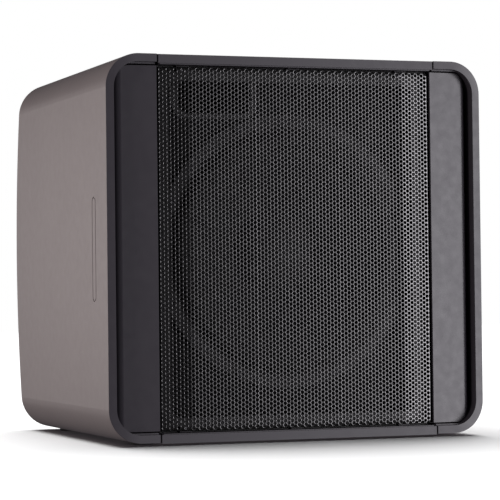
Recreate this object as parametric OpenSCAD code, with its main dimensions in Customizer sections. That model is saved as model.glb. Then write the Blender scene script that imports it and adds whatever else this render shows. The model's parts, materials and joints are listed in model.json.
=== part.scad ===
// Compact ported subwoofer: wrap-around sleeve, arched back, folded perforated grille between two
// C-shaped front bezels, one 10 inch woofer, slot port, line transformer and a recessed terminal tray.
// X is across the front, +Y runs from the front to the back, +Z is up. The origin is on the floor,
// under the middle of the cabinet.

/* [Cabinet] */
// Width of the cabinet
body_w = 375; // [370:1:385]
// Height of the cabinet without its feet
body_h = 357; // [352:1:366]
// Depth from the front plane to the crown of the arched back
body_d = 343; // [335:1:380]
// Corner radius of the sleeve seen from the front
corner_r = 31; // [28:0.5:34]
// Wall thickness of the sleeve
wall = 6; // [5.5:0.1:6.2]
// Radius of the arched back, about a level axis
back_r = 704; // [690:1:900]
// Height of the rubber feet
foot_h = 3; // [2:0.5:6]

/* [Front trim] */
// Width of the bezel's face
trim_w = 7.4; // [7:0.1:8]
// Thickness of the trim in front of the sleeve
trim_t = 2.4; // [2:0.1:3]
// Height of the grille's top and bottom rails
rail_h = 8; // [7:0.1:8.2]
// Distance from the middle to where a bezel's face begins to curve back
crown_x = 160; // [150:1:170]
// How far that face has curved back at the bezel's outer edge
crown_deep = 1.8; // [0.5:0.1:2]
// How far the grille and its rails hang below the bezels
rail_drop = 0.6; // [0:0.1:0.8]
// Distance from the middle to the gap between a rail and a bezel
split_x = 138.4; // [138:0.1:139]
// Width of that gap
split_gap = 1.6; // [1:0.1:2]
// Depth of the groove round the cheek panels
cove_d = 24; // [22:0.5:26]
// Width of that groove above and below a cheek panel
cheek_groove = 2.9; // [2.6:0.1:4]
// Depth of a cheek panel's inner edge behind the front plane
cheek_in_d = 6.3; // [5:0.1:8]
// Depth of a cheek panel where its outer edge begins to roll back
cheek_out_d = 9.2; // [8:0.1:10]
// Radius of that rolled edge
cheek_roll_r = 7.6; // [7:0.1:10]
// Radius of a cheek panel's outer corners
cheek_corner_r = 15; // [10:0.5:18]

/* [Grille] */
// Half of the width between the two folds of the perforated sheet
fold_x = 108.3; // [100:0.1:115]
// Depth of the sheet's flat middle behind the front plane
fold_d = 4.2; // [4:0.1:5]
// Half width of the sheet
grille_x = 136.6; // [136:0.1:136.8]
// Depth of the sheet at its sides
grille_side_d = 9; // [8:0.1:9.5]
// Thickness of the sheet
sheet_t = 1.2; // [1:0.1:1.5]
// Half height of the sheet
grille_z = 168; // [166:0.5:168]
// Radius of the grille's push-in studs
stud_r = 2.5; // [2:0.1:3]

/* [Woofer] */
// Outer radius of the basket's flange
flange_r = 130; // [128:0.5:131]
// Height of the woofer's axis above the underside of the cabinet
woofer_h = 175.5; // [174:0.5:176]
// Radius at the middle of the surround's roll
roll_mid_r = 105.5; // [105:0.1:106]
// Radius of the surround's roll
roll_r = 8.5; // [7:0.1:8.5]
// Radius of the dust cap
cap_r = 41; // [36:0.5:44]
// Outer radius of the voice coil former
former_r = 25.8; // [25.7:0.05:25.9]
// Radius of the magnet
magnet_r = 70; // [60:1:72]

/* [Port] */
// Width of the slot port's opening
port_w = 72; // [60:1:74]
// Height of the slot port's opening
port_h = 32; // [24:1:33]
// Distance from the middle of the cabinet to the port's axis
port_x = 70; // [66:1:72]
// Height of the port's axis above the middle of the cabinet
port_z = 143.5; // [143:0.5:144]
// Length of the port behind the baffle
port_len = 105; // [60:1:150]

/* [Connections] */
// Distance between the two binding posts
post_pitch = 19.05; // [17:0.05:24]
// Radius of a binding post's threaded shaft
post_r = 3; // [2.8:0.1:3.2]
// Radius of the plug socket in a binding post
socket_r = 2; // [1.9:0.05:2.1]
// Side of the square pattern of bracket inserts in the back
bracket_pitch = 200; // [180:1:220]
// Radius of the bracket inserts' bores
insert_r = 3; // [2.5:0.5:4]

/* [Hidden] */
$fn = 72;
large_fn = 400;

front_y = -body_d / 2;
mid_z = foot_h + body_h / 2;
in_w = body_w - 2 * wall;
in_h = body_h - 2 * wall;
in_r = corner_r - wall;
gap = 0.2;
eps = 0.5;

baffle_d = 42;
baffle_t = 15;
ledge_t = 4;
ledge_w = 14;
panel_inset = 2;
panel_t = 5;

bezel_x = split_x + split_gap / 2;
crown_r = (pow(body_w / 2 - crown_x, 2) + pow(crown_deep, 2)) / (2 * crown_deep);
ledge_d = 5;
ledge_x = 168;
rail_x = split_x - split_gap / 2;
floor_t = 2.5;
floor_x = grille_x + 1.2;
cheek_x0 = grille_x + 1;
cheek_x1 = body_w / 2 - trim_w - 2.5;
cheek_z = body_h / 2 - trim_w - cheek_groove;
cheek_wall = 2.5;
bezel_screw_x = 158;
bezel_screw_zs = [-120, 0, 120];

carrier_d = 16.2;
carrier_t = 3;
carrier_x = 135;
carrier_z = 171.4;
stud_x = 129;
stud_z = 140;
stud_len = 12;

tray_w = 112;
tray_h = 74;
tray_deep = 24;
tray_wall = 2.2;
tray_flange = 12;
tray_face_d = body_d - 3.5;
tray_floor_d = tray_face_d - tray_deep;
post_x = [-16, -16 - post_pitch];
tap_x = 30;
insert_face_d = body_d - 11;
insert_len = 12.6;

// Depth of the arched back, moved in by an inset, at a height about the middle
function arc_d(z, inset) = body_d - back_r + sqrt(pow(back_r - inset, 2) - z * z);

// Depth of the flat seat under a back panel screw's head
function screw_seat_d(z) = arc_d(abs(z) + 4.3, panel_inset) - 0.4;

// ---------------------------------------------------------------- helpers

// Rectangle with round corners, centred
module rounded_rect(w, h, r) {
    square([w - 2 * r, h], center = true);
    square([w, h - 2 * r], center = true);
    for (x = [-1, 1], y = [-1, 1])
        translate([x * (w / 2 - r), y * (h / 2 - r)]) circle(r);
}

// Extrudes a front-view outline between two depths behind the front plane
module plate(d0, d1) {
    translate([0, front_y + d1, mid_z]) rotate([90, 0, 0]) linear_extrude(d1 - d0) children();
}

// Extrudes a plan-view outline, drawn as across and depth, between two heights about the middle
module column(z0, z1) {
    translate([0, front_y, mid_z + z0]) linear_extrude(z1 - z0) children();
}

// Places its children at a front-view position and a depth, with their +Z towards the front
module facing_front(x, z, d) {
    translate([x, front_y + d, mid_z + z]) rotate([90, 0, 0]) children();
}

// The same with +Z towards the back
module facing_back(x, z, d) {
    translate([x, front_y + d, mid_z + z]) rotate([-90, 0, 0]) children();
}

// Everything in front of the arched back, moved in by an inset
module back_arc(inset) {
    translate([0, front_y + body_d - back_r, mid_z]) rotate([0, 90, 0])
        cylinder(r = back_r - inset, h = body_w + 20, center = true, $fn = large_fn);
}

// Axis of the woofer, +Z towards the front, zero on the baffle's face
module on_woofer() {
    translate([0, front_y + baffle_d, foot_h + woofer_h]) rotate([90, 0, 0]) children();
}

// Ring about the Z axis
module ring(r_out, r_in, z0, z1) {
    translate([0, 0, z0]) difference() {
        cylinder(r = r_out, h = z1 - z0);
        translate([0, 0, -1]) cylinder(r = r_in, h = z1 - z0 + 2);
    }
}

// Pan-head screw with a cross recess: head above zero, shank below
module screw(head_r, head_h, shank_r, length) {
    difference() {
        union() {
            cylinder(r = head_r, h = head_h, $fn = 32);
            translate([0, 0, -length]) cylinder(r = shank_r, h = length + 0.1, $fn = 24);
        }
        for (a = [0, 90]) rotate(a)
            translate([-head_r * 0.6, -0.45, head_h * 0.4]) cube([head_r * 1.2, 0.9, head_h]);
    }
}

// Round wire along a list of points
module wire(points, r) {
    for (i = [0 : len(points) - 2]) {
        run = points[i + 1] - points[i];
        tilt = acos(run[2] / norm(run));
        turn = atan2(run[1], run[0]);
        translate(points[i]) rotate([0, tilt, turn]) cylinder(r = r, h = norm(run), $fn = 16);
        if (i > 0) translate(points[i]) sphere(r = r + 0.06, $fn = 16);
    }
}

// ---------------------------------------------------------------- cabinet

badge_d = 46;
badge_len = 98;
badge_w = 12;
badge_r = badge_w / 2 - 0.01;
badge_line = 1.4;
badge_deep = 0.8;

foot_x = 145;
foot_ys = [front_y + 40, front_y + 290];
foot_r = 11;
foot_stem_r = 4;

baffle_screw_at = [
    for (x = [-173.5, 173.5], z = [-110, 0, 110]) [x, z],
    for (x = [-122, 0, 122], z = [-164.5, 164.5]) [x, z]
];
rear_screw_at = [
    for (x = [-173, 173], z = [-120, 0, 120]) [x, z],
    for (x = [-90, 90], z = [-163, 163]) [x, z]
];
insert_at = [for (x = [-1, 1], z = [-1, 1]) [x * bracket_pitch / 2, z * bracket_pitch / 2]];

// Slim plain pill outline pressed into the left side of the sleeve
module side_badge() {
    translate([-body_w / 2 + badge_deep, front_y + badge_d, mid_z]) rotate([0, -90, 0])
        linear_extrude(5) difference() {
            rounded_rect(badge_len, badge_w, badge_r);
            rounded_rect(badge_len - 2 * badge_line, badge_w - 2 * badge_line, badge_r - badge_line);
        }
}

module cabinet_shell() color([0.30, 0.285, 0.285])
    difference() {
        union() {
            intersection() {
                difference() {
                    plate(trim_t + gap, body_d + 5) rounded_rect(body_w, body_h, corner_r);
                    plate(0, body_d + 6) rounded_rect(in_w, in_h, in_r);
                }
                back_arc(0);
            }
            plate(baffle_d + baffle_t + gap, baffle_d + baffle_t + gap + ledge_t) difference() {
                rounded_rect(in_w + 2, in_h + 2, in_r + 1);
                rounded_rect(in_w - 2 * ledge_w, in_h - 2 * ledge_w, in_r - 8);
            }
            intersection() {
                plate(body_d / 2, body_d) difference() {
                    rounded_rect(in_w + 2, in_h + 2, in_r + 1);
                    rounded_rect(in_w - 2 * ledge_w, in_h - 2 * ledge_w, in_r - 8);
                }
                difference() {
                    back_arc(panel_inset + panel_t + gap);
                    back_arc(panel_inset + panel_t + gap + ledge_t);
                }
            }
        }
        plate(baffle_d + baffle_t - 1, baffle_d + baffle_t + ledge_t + 2) translate([-port_x, port_z])
            square([port_w + 16, port_h + 15], center = true);
        for (x = [-foot_x, foot_x], y = foot_ys)
            translate([x, y, foot_h - 1]) cylinder(r = foot_stem_r + 0.05, h = 6.3);
        for (p = baffle_screw_at) facing_front(p[0], p[1], baffle_d + baffle_t + 10)
            cylinder(r = 2.05, h = 12);
        for (p = rear_screw_at) facing_back(p[0], p[1], arc_d(p[1], 0) - 20)
            cylinder(r = 1.85, h = 18);
        side_badge();
    }

module rear_panel() color([0.10, 0.10, 0.105])
    difference() {
        union() {
            intersection() {
                plate(body_d / 2, body_d) rounded_rect(in_w - 2 * gap, in_h - 2 * gap, in_r - gap);
                difference() {
                    back_arc(panel_inset);
                    back_arc(panel_inset + panel_t);
                }
            }
            plate(tray_face_d - 7, tray_face_d)
                rounded_rect(tray_w + 2 * tray_flange + 12, tray_h + 2 * tray_flange + 12, 12);
            for (p = insert_at) facing_back(p[0], p[1], insert_face_d - 16) cylinder(r = 10, h = 16);
        }
        plate(tray_face_d, body_d + 1)
            rounded_rect(tray_w + 2 * tray_flange + 3, tray_h + 2 * tray_flange + 3, 9.5);
        plate(tray_face_d - 12, tray_face_d + 1)
            rounded_rect(tray_w + 2 * tray_wall + 1, tray_h + 2 * tray_wall + 1, 6.7);
        for (x = [-1, 1], z = [-1, 1])
            facing_back(x * (tray_w / 2 + 6.5), z * (tray_h / 2 + 6.5), tray_face_d - 10)
                cylinder(r = 1.55, h = 12);
        for (p = insert_at) {
            facing_back(p[0], p[1], insert_face_d) cylinder(r = 8, h = 12);
            facing_back(p[0], p[1], insert_face_d - insert_len - 0.4) cylinder(r = 4.5, h = insert_len + 1);
        }
        for (p = rear_screw_at) {
            facing_back(p[0], p[1], arc_d(p[1], 0) - 14) cylinder(r = 2.2, h = 20);
            facing_back(p[0], p[1], screw_seat_d(p[1])) cylinder(r = 4.3, h = 12);
        }
    }

module rear_panel_screws() color([0.06, 0.06, 0.065])
    for (p = rear_screw_at) facing_back(p[0], p[1], screw_seat_d(p[1])) screw(3.6, 2, 1.8, 10);

module bracket_inserts() color([0.72, 0.60, 0.34])
    for (p = insert_at) facing_back(p[0], p[1], insert_face_d - insert_len)
        ring(4.45, insert_r, 0, insert_len);

module rubber_feet() color([0.03, 0.03, 0.03])
    for (x = [-foot_x, foot_x], y = foot_ys) translate([x, y, 0]) union() {
        cylinder(r1 = foot_r - 0.8, r2 = foot_r, h = 0.8);
        translate([0, 0, 0.8]) cylinder(r = foot_r, h = foot_h - 0.8);
        translate([0, 0, foot_h - 0.1]) cylinder(r = foot_stem_r, h = 5);
    }

// ---------------------------------------------------------------- baffle and port

cutout_r = 118;
woofer_z = foot_h + woofer_h - mid_z;
woofer_screw_r = 124.5;
woofer_screw_count = 8;

module front_baffle() color([0.07, 0.07, 0.07])
    difference() {
        plate(baffle_d, baffle_d + baffle_t)
            rounded_rect(in_w - 2 * gap, in_h - 2 * gap, in_r - gap);
        facing_front(0, woofer_z, baffle_d + baffle_t + 1) cylinder(r = cutout_r, h = baffle_t + 2);
        plate(baffle_d - 1, baffle_d + baffle_t + 1) translate([-port_x, port_z])
            rounded_rect(port_w + 6.4, port_h + 6.4, 13.2);
        for (i = [0 : woofer_screw_count - 1]) on_woofer() rotate(22.5 + i * 360 / woofer_screw_count)
            translate([woofer_screw_r, 0, -baffle_t - 1]) cylinder(r = 2.05, h = baffle_t + 2);
        for (p = baffle_screw_at) facing_front(p[0], p[1], baffle_d + baffle_t + 1)
            cylinder(r = 2.2, h = baffle_t + 2);
        for (s = [-1, 1], z = bezel_screw_zs) facing_front(s * bezel_screw_x, z, baffle_d + 12)
            cylinder(r = 2.05, h = 13);
        for (x = [-stud_x, stud_x], z = [-stud_z, stud_z]) facing_front(x, z, baffle_d + 6)
            cylinder(r = 4.05, h = 7);
    }

module baffle_screws() color([0.10, 0.10, 0.10])
    for (p = baffle_screw_at) facing_front(p[0], p[1], baffle_d) screw(4, 2.4, 2, 18.8);

module port_flare() color([0.05, 0.05, 0.05])
    difference() {
        union() {
            plate(baffle_d - 2.2, baffle_d - 0.1) translate([-port_x, port_z])
                rounded_rect(port_w + 14, port_h + 10, 15);
            plate(baffle_d - 0.3, baffle_d + baffle_t + 8) translate([-port_x, port_z])
                rounded_rect(port_w + 6, port_h + 6, 13);
        }
        plate(baffle_d - 3, baffle_d + baffle_t + 9) translate([-port_x, port_z])
            rounded_rect(port_w, port_h, 10);
    }

module port_tube() color([0.05, 0.05, 0.05])
    difference() {
        plate(baffle_d + baffle_t + 0.4, baffle_d + baffle_t + port_len) translate([-port_x, port_z])
            rounded_rect(port_w + 12, port_h + 11, 15.5);
        plate(baffle_d + baffle_t, baffle_d + baffle_t + 8.2) translate([-port_x, port_z])
            rounded_rect(port_w + 6.3, port_h + 6.3, 13.15);
        plate(baffle_d + baffle_t, baffle_d + baffle_t + port_len + 1) translate([-port_x, port_z])
            rounded_rect(port_w, port_h, 10);
    }

// ---------------------------------------------------------------- front trim

module right_of(x) {
    translate([x, front_y - 5, 0]) cube([body_w, 60, body_h + 2 * foot_h + 10]);
}

// What lies in front of a bezel's face where that curves back
module crown_cut() {
    translate([crown_x, front_y + crown_r, 0]) difference() {
        translate([0, -crown_r - 5, 0]) cube([50, 5 + 2 * crown_deep, body_h + 2 * foot_h + 10]);
        translate([0, 0, -1]) cylinder(r = crown_r, h = body_h + 2 * foot_h + 12, $fn = large_fn);
    }
}

module bezel_half() {
    face_w = body_w - 2 * trim_w;
    face_h = body_h - 2 * trim_w;
    face_r = corner_r - trim_w;
    difference() {
        union() {
            intersection() {
                difference() {
                    union() {
                        plate(0, trim_t) rounded_rect(body_w, body_h, corner_r);
                        plate(trim_t - eps, cove_d + floor_t)
                            rounded_rect(in_w - 2 * gap, in_h - 2 * gap, in_r - gap);
                    }
                    plate(-1, cove_d) rounded_rect(face_w, face_h, face_r);
                    plate(cove_d - 1, cove_d + floor_t + 1) square([2 * bezel_x, 2 * body_h], center = true);
                }
                right_of(bezel_x);
            }
            plate(cove_d, cove_d + floor_t) translate([(floor_x + bezel_x) / 2 + 1, 0])
                square([bezel_x - floor_x + 2, in_h - 2 * gap - 1], center = true);
            for (z = [-1, 1]) plate(ledge_d, cove_d + 1) intersection() {
                rounded_rect(in_w - 2 * gap, in_h - 2 * gap, in_r - gap);
                translate([(bezel_x + ledge_x) / 2, z * (face_h / 2 - 0.5)])
                    square([ledge_x - bezel_x, 2.2], center = true);
            }
            for (z = bezel_screw_zs) facing_front(bezel_screw_x, z, baffle_d - 0.2)
                cylinder(r = 5.5, h = baffle_d - cove_d - floor_t + 0.1);
        }
        for (z = bezel_screw_zs) facing_front(bezel_screw_x, z, baffle_d + 1)
            cylinder(r = 2.2, h = baffle_d - cove_d + 2);
        crown_cut();
    }
}

module bezel_right() color([0.115, 0.11, 0.12]) bezel_half();

module bezel_left() color([0.115, 0.11, 0.12]) mirror([1, 0, 0]) bezel_half();

module bezel_screws() color([0.35, 0.35, 0.36])
    for (s = [-1, 1], z = bezel_screw_zs) facing_front(s * bezel_screw_x, z, cove_d - 0.1)
        screw(4.2, 2.4, 2, 28);

// Plan-view section of a cheek panel, moved in by an inset
module cheek_section(inset) {
    roll_x = cheek_x1 - cheek_roll_r;
    roll_d = cheek_out_d + cheek_roll_r;
    back_d = cove_d - 0.2 + inset;
    polygon([
        [cheek_x0 + inset, back_d],
        [cheek_x0 + inset, cheek_in_d + inset],
        [roll_x, cheek_out_d + inset],
        [roll_x, back_d]
    ]);
    translate([roll_x, roll_d]) circle(cheek_roll_r - inset);
    translate([roll_x - 1, roll_d]) square([cheek_roll_r + 1 - inset, back_d - roll_d]);
}

// Front outline of a cheek panel with round outer corners, moved in by an inset
module cheek_outline(inset) {
    w = cheek_x1 - cheek_x0;
    r = cheek_corner_r - inset;
    translate([cheek_x0 + inset, -cheek_z + inset])
        square([w - cheek_corner_r - inset, 2 * (cheek_z - inset)]);
    translate([cheek_x0 + inset, -cheek_z + cheek_corner_r])
        square([w - 2 * inset, 2 * (cheek_z - cheek_corner_r)]);
    for (z = [-1, 1]) translate([cheek_x1 - cheek_corner_r, z * (cheek_z - cheek_corner_r)]) circle(r);
}

module cheek_half()
    difference() {
        intersection() {
            column(-cheek_z - 1, cheek_z + 1) cheek_section(0);
            plate(0, cove_d) cheek_outline(0);
        }
        intersection() {
            column(-cheek_z - 1, cheek_z + 1) cheek_section(cheek_wall);
            plate(0, cove_d + 5) cheek_outline(cheek_wall);
        }
    }

module cheek_panel_right() color([0.15, 0.145, 0.155]) cheek_half();

module cheek_panel_left() color([0.15, 0.145, 0.155]) mirror([1, 0, 0]) cheek_half();

// ---------------------------------------------------------------- grille

hem_x = grille_x - 2.6;
hem_d = 12.4;
rail_screw_xs = [-110, 0, 110];
rail_screw_z = 166;
rail_top_trim = 0.2;

// Plan-view line of the folded sheet, from its front face moved in by an inset to a back depth
module sheet_plan(inset, back_d)
    polygon([
        [-grille_x + inset, back_d],
        [-grille_x + inset, grille_side_d + inset],
        [-fold_x, fold_d + inset],
        [fold_x, fold_d + inset],
        [grille_x - inset, grille_side_d + inset],
        [grille_x - inset, back_d]
    ]);

module grille_mesh() color([0.05, 0.05, 0.05])
    translate([0, 0, -rail_drop]) difference() {
        column(-grille_z, grille_z) sheet_plan(0, carrier_d - 0.2);
        column(-grille_z + sheet_t, grille_z - sheet_t) sheet_plan(sheet_t, carrier_d + 1);
        column(-grille_z - 1, grille_z + 1) translate([-hem_x, hem_d]) square([2 * hem_x, 20]);
    }

module grille_carrier() color([0.05, 0.05, 0.05])
    difference() {
        plate(carrier_d, carrier_d + carrier_t) translate([0, -rail_drop])
            square([2 * carrier_x, 2 * carrier_z], center = true);
        plate(carrier_d - 1, carrier_d + carrier_t + 1) translate([0, -rail_drop])
            rounded_rect(2 * carrier_x - 24, 2 * carrier_z - 30, 8);
        for (x = [-stud_x, stud_x], z = [-stud_z, stud_z])
            facing_front(x, z - rail_drop, carrier_d + carrier_t + 1) cylinder(r = 2.05, h = 6);
        for (x = rail_screw_xs, z = [-1, 1])
            facing_front(x, z * rail_screw_z - rail_drop, carrier_d + carrier_t + 1) cylinder(r = 1.3, h = 6);
    }

// Rail above the sheet: a face in front of the sleeve, a lip behind it and three screw tongues
module rail_half() {
    face_top = body_h / 2 + rail_top_trim;
    face_low = face_top - rail_h;
    plate(0, trim_t) translate([0, (face_top + face_low) / 2]) square([2 * rail_x, rail_h], center = true);
    plate(trim_t - eps, carrier_d - 0.1) translate([0, face_low - 0.1])
        square([2 * rail_x - 4, 1.7], center = true);
    difference() {
        for (x = rail_screw_xs) plate(carrier_d - 2.6, carrier_d - 0.1)
            translate([x, face_low - 2.9]) square([12, 7], center = true);
        for (x = rail_screw_xs) facing_front(x, rail_screw_z, carrier_d + 1) cylinder(r = 1.3, h = 6);
    }
}

module grille_top_rail() color([0.12, 0.12, 0.125])
    translate([0, 0, -rail_drop]) rail_half();

module grille_bottom_rail() color([0.12, 0.12, 0.125])
    translate([0, 0, -rail_drop]) translate([0, 0, 2 * mid_z]) mirror([0, 0, 1]) rail_half();

module rail_screws() color([0.35, 0.35, 0.36])
    for (x = rail_screw_xs, z = [-1, 1])
        facing_back(x, z * rail_screw_z - rail_drop, carrier_d + carrier_t + 0.1) screw(2.4, 1.4, 1.2, 5.2);

module grille_studs() color([0.10, 0.10, 0.10])
    for (x = [-stud_x, stud_x], z = [-stud_z, stud_z])
        facing_back(x, z - rail_drop, carrier_d + carrier_t + 0.1) union() {
            translate([0, 0, -3]) cylinder(r = 2, h = 3.1);
            cylinder(r = 4, h = 1.2);
            cylinder(r = stud_r, h = stud_len);
            translate([0, 0, stud_len]) cylinder(r1 = stud_r, r2 = stud_r - 1, h = 1);
        }

module grille_cups() color([0.03, 0.03, 0.03])
    for (x = [-stud_x, stud_x], z = [-stud_z, stud_z]) facing_front(x, z - rail_drop, baffle_d - 0.1)
        difference() {
            union() {
                cylinder(r = 7, h = 15);
                translate([0, 0, -5.7]) cylinder(r = 3.2, h = 5.8);
            }
            translate([0, 0, 2]) cylinder(r = stud_r + 0.05, h = 20);
        }

// ---------------------------------------------------------------- woofer

flange_t = 6;
step_r = 119;
step_z = 4;
cone_edge_r = 96.5;
cone_neck_r = former_r + 0.1;
cone_edge_z = 5;
cone_neck_z = -42;
cone_t = 1.2;
basket_r = 112;
seat_z = -74;
spider_z = -52;
spider_r = 60;
plate_top_z = -75;
plate_t = 8;
magnet_t = 18;
yoke_t = 8;
cap_h = 14;

module woofer_gasket() color([0.03, 0.03, 0.03])
    on_woofer() difference() {
        ring(flange_r - 0.5, cutout_r + 0.5, 0.1, 1);
        for (i = [0 : woofer_screw_count - 1]) rotate(22.5 + i * 360 / woofer_screw_count)
            translate([woofer_screw_r, 0, -1]) cylinder(r = 2.4, h = 4);
    }

// Section of the basket: stepped flange, tapering wall with a landing for the spider, and a seat
module basket_section()
    polygon([
        [basket_r - 2, step_z],
        [step_r, step_z],
        [step_r, flange_t],
        [flange_r, flange_t],
        [flange_r, 1.2],
        [cutout_r - 2, 1.2],
        [cutout_r - 3, -14],
        [spider_r + 8, spider_z - 1],
        [spider_r + 6, seat_z],
        [28, seat_z],
        [28, seat_z + 3],
        [spider_r, seat_z + 3],
        [spider_r, spider_z - 5],
        [spider_r - 3, spider_z - 3.4],
        [spider_r - 3, spider_z - 1.4],
        [spider_r + 4, spider_z - 1.4],
        [basket_r - 2, -12]
    ]);

module woofer_basket() color([0.06, 0.06, 0.065])
    on_woofer() difference() {
        rotate_extrude() basket_section();
        for (i = [0 : 5]) rotate(i * 60) {
            translate([75, -22, -48]) cube([60, 44, 33]);
        }
        for (i = [0 : woofer_screw_count - 1]) rotate(22.5 + i * 360 / woofer_screw_count)
            translate([woofer_screw_r, 0, -2]) cylinder(r = 2.4, h = 12);
    }

module woofer_screws() color([0.08, 0.08, 0.08])
    on_woofer() for (i = [0 : woofer_screw_count - 1]) rotate(22.5 + i * 360 / woofer_screw_count)
        translate([woofer_screw_r, 0, flange_t + 0.05]) screw(4, 2.6, 2, 20);

module woofer_terminals() color([0.62, 0.52, 0.30])
    on_woofer() rotate(-90) {
        translate([spider_r + 9.2, -13, seat_z + 2]) cube([2, 26, 12]);
        for (y = [-8, 8]) translate([spider_r + 11, y - 2.4, seat_z + 4]) cube([9, 4.8, 0.9]);
    }

module top_plate() color([0.55, 0.55, 0.57])
    on_woofer() ring(64, former_r + 1.9, plate_top_z - plate_t, plate_top_z);

module magnet() color([0.12, 0.12, 0.13])
    on_woofer() ring(magnet_r, 38, plate_top_z - plate_t - 0.1 - magnet_t, plate_top_z - plate_t - 0.1);

yoke_top_z = plate_top_z - plate_t - 0.2 - magnet_t;

module pole_yoke() color([0.55, 0.55, 0.57])
    on_woofer() difference() {
        union() {
            translate([0, 0, yoke_top_z - yoke_t]) cylinder(r = 64, h = yoke_t);
            translate([0, 0, yoke_top_z - 1]) cylinder(r = former_r - 1.2, h = plate_top_z - yoke_top_z + 1);
        }
        translate([0, 0, yoke_top_z - yoke_t - 1]) cylinder(r = 8, h = 60);
    }

module magnet_boot() color([0.03, 0.03, 0.03])
    on_woofer() union() {
        ring(magnet_r + 2.6, magnet_r + 0.2, yoke_top_z - yoke_t, plate_top_z - plate_t);
        ring(magnet_r + 1, 64.6, yoke_top_z - yoke_t, yoke_top_z - 1.5);
    }

// Half roll with an outer lip on the basket's step and an inner lip on the cone
module surround() color([0.02, 0.02, 0.02])
    on_woofer() rotate_extrude() {
        translate([roll_mid_r, step_z + 1.3]) intersection() {
            difference() {
                circle(roll_r);
                circle(roll_r - 1.1);
            }
            translate([-20, -0.1]) square([40, 20]);
        }
        translate([roll_mid_r + roll_r - 1.1, step_z + 0.1])
            square([step_r - 0.3 - roll_mid_r - roll_r + 1.1, 1.2]);
        translate([cone_edge_r - 4, step_z + 0.1 + 1.1])
            square([roll_mid_r - roll_r + 1.1 - cone_edge_r + 4, 1.1]);
    }

module cone() color([0.05, 0.05, 0.05])
    on_woofer() rotate_extrude() polygon([
        [cone_neck_r, cone_neck_z],
        [cone_edge_r - 4, cone_edge_z - cone_t],
        [cone_edge_r, cone_edge_z - cone_t],
        [cone_edge_r, cone_edge_z],
        [cone_edge_r - 4.8, cone_edge_z],
        [cone_neck_r, cone_neck_z + 1.8]
    ]);

// Depth of the cone's face at the dust cap's rim
function cone_face_z(r) =
    cone_neck_z + 1.8
    + (r - cone_neck_r) * (cone_edge_z - cone_neck_z - 1.8) / (cone_edge_r - 4.8 - cone_neck_r);

module dust_cap() color([0.04, 0.04, 0.04]) {
    rim_z = cone_face_z(cap_r) + 0.4;
    dome_r = (cap_r * cap_r + cap_h * cap_h) / (2 * cap_h);
    on_woofer() intersection() {
        translate([0, 0, rim_z + cap_h - dome_r]) difference() {
            sphere(r = dome_r, $fn = 120);
            sphere(r = dome_r - 1, $fn = 120);
        }
        translate([0, 0, rim_z]) cylinder(r = cap_r + 1, h = cap_h + 5);
    }
}

module coil_former() color([0.75, 0.60, 0.25])
    on_woofer() ring(former_r, former_r - 0.6, -91, cone_neck_z + 4);

module voice_coil() color([0.72, 0.38, 0.20])
    on_woofer() ring(former_r + 1.2, former_r + 0.02, -90, -70);

spider_rolls = 4;
spider_amp = 2.2;
spider_t = 0.6;
spider_steps = 48;

// Corrugated centring disc, a wave swept round the axis
module spider() color([0.70, 0.60, 0.35])
    on_woofer() translate([0, 0, spider_z]) rotate_extrude() polygon(concat(
        [for (i = [0 : spider_steps]) spider_point(i, spider_t)],
        [for (i = [0 : spider_steps]) spider_point(spider_steps - i, 0)]
    ));

function spider_point(i, lift) = [
    former_r + 0.1 + (spider_r + 3 - former_r) * i / spider_steps,
    lift - 0.6 + spider_amp * sin(i * 360 * spider_rolls / spider_steps) * sin(i * 180 / spider_steps)
];

// ---------------------------------------------------------------- terminals and controls

module terminal_tray() color([0.08, 0.08, 0.085])
    difference() {
        union() {
            plate(tray_face_d + 0.1, tray_face_d + 2.1)
                rounded_rect(tray_w + 2 * tray_flange, tray_h + 2 * tray_flange, 8);
            plate(tray_floor_d - 2.5, tray_face_d + 1)
                rounded_rect(tray_w + 2 * tray_wall, tray_h + 2 * tray_wall, 6.2);
        }
        plate(tray_floor_d, tray_face_d + 5) rounded_rect(tray_w, tray_h, 4);
        for (x = post_x) facing_back(x, 0, tray_floor_d - 4) cylinder(r = post_r + 0.05, h = 6);
        facing_back(tap_x, 0, tray_floor_d - 4) cylinder(r = 4.55, h = 6);
        for (x = [-1, 1], z = [-1, 1])
            facing_back(x * (tray_w / 2 + 6.5), z * (tray_h / 2 + 6.5), tray_face_d - 1)
                cylinder(r = 1.9, h = 5);
    }

module tray_screws() color([0.08, 0.08, 0.08])
    for (x = [-1, 1], z = [-1, 1])
        facing_back(x * (tray_w / 2 + 6.5), z * (tray_h / 2 + 6.5), tray_face_d + 2.15)
            screw(3.2, 1.1, 1.5, 8.5);

// Brass shafts with a plug socket in the outer end and a wire hole across
module post_shafts() color([0.75, 0.62, 0.30])
    for (x = post_x) facing_back(x, 0, tray_floor_d) difference() {
        union() {
            translate([0, 0, -14]) cylinder(r = post_r, h = 34);
            translate([0, 0, -6.4]) cylinder(r = 5, h = 1.5);
        }
        translate([0, 0, 6]) cylinder(r = socket_r, h = 20);
        translate([0, 0, 4.6]) rotate([90, 0, 0]) cylinder(r = 1, h = 20, center = true, $fn = 24);
    }

module post_collars() color([0.05, 0.05, 0.05])
    for (x = post_x) facing_back(x, 0, tray_floor_d) ring(7, post_r + 0.05, 0.1, 3);

module post_nuts() color([0.75, 0.62, 0.30])
    for (x = post_x) facing_back(x, 0, tray_floor_d) difference() {
        translate([0, 0, -4.8]) cylinder(r = 5.8, h = 2.2, $fn = 6);
        translate([0, 0, -6]) cylinder(r = post_r + 0.05, h = 5, $fn = 48);
    }

cap_len = 16;
cap_outer_r = 7.2;
cap_z = 4.6;

module post_washer(x)
    facing_back(x, 0, tray_floor_d) ring(6, post_r + 0.06, 3.3, 4.3);

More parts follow.
